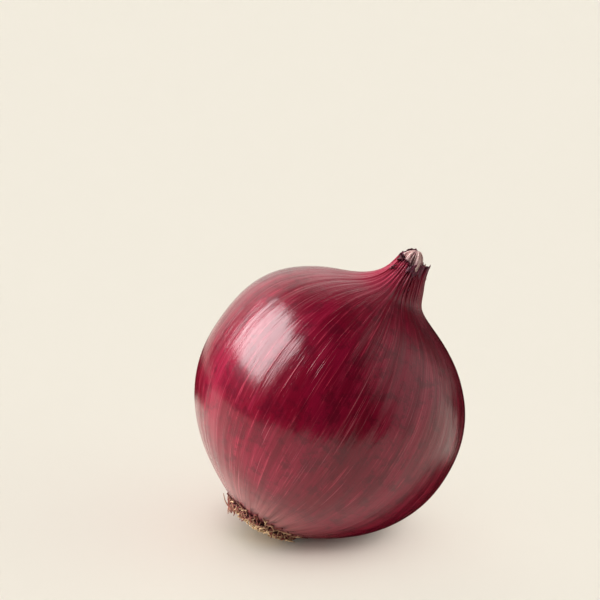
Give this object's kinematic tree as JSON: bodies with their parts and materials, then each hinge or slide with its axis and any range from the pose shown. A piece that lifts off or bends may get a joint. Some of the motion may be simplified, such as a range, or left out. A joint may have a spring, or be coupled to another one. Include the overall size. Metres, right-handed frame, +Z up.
{
  "type": "onion",
  "caption": "Whole dry red onion with glossy papery skin, a pinched cut neck and a tuft of trimmed roots, leaning on a small flat.",
  "frame": {"origin": "middle of the small flat that the onion rests on, on the surface it lies on", "axes": "+Z up; the neck points up and towards +X and a little towards +Y, the roots down and towards -X"},
  "size_m": [0.0745, 0.0761, 0.0778],
  "materials": {
    "skin": "glossy thin dry skin, crimson to purple with fine streaks from the roots to the neck",
    "dry_roots": "matte dry fibre, straw coloured with dark gaps",
    "dry_leaf": "matte crumpled dry leaf, pale pink and beige"
  },
  "bodies": {
    "root": {"bulb": "skin", "roots": "dry_roots", "leaf_stub": "dry_leaf"}
  },
  "joints": []
}
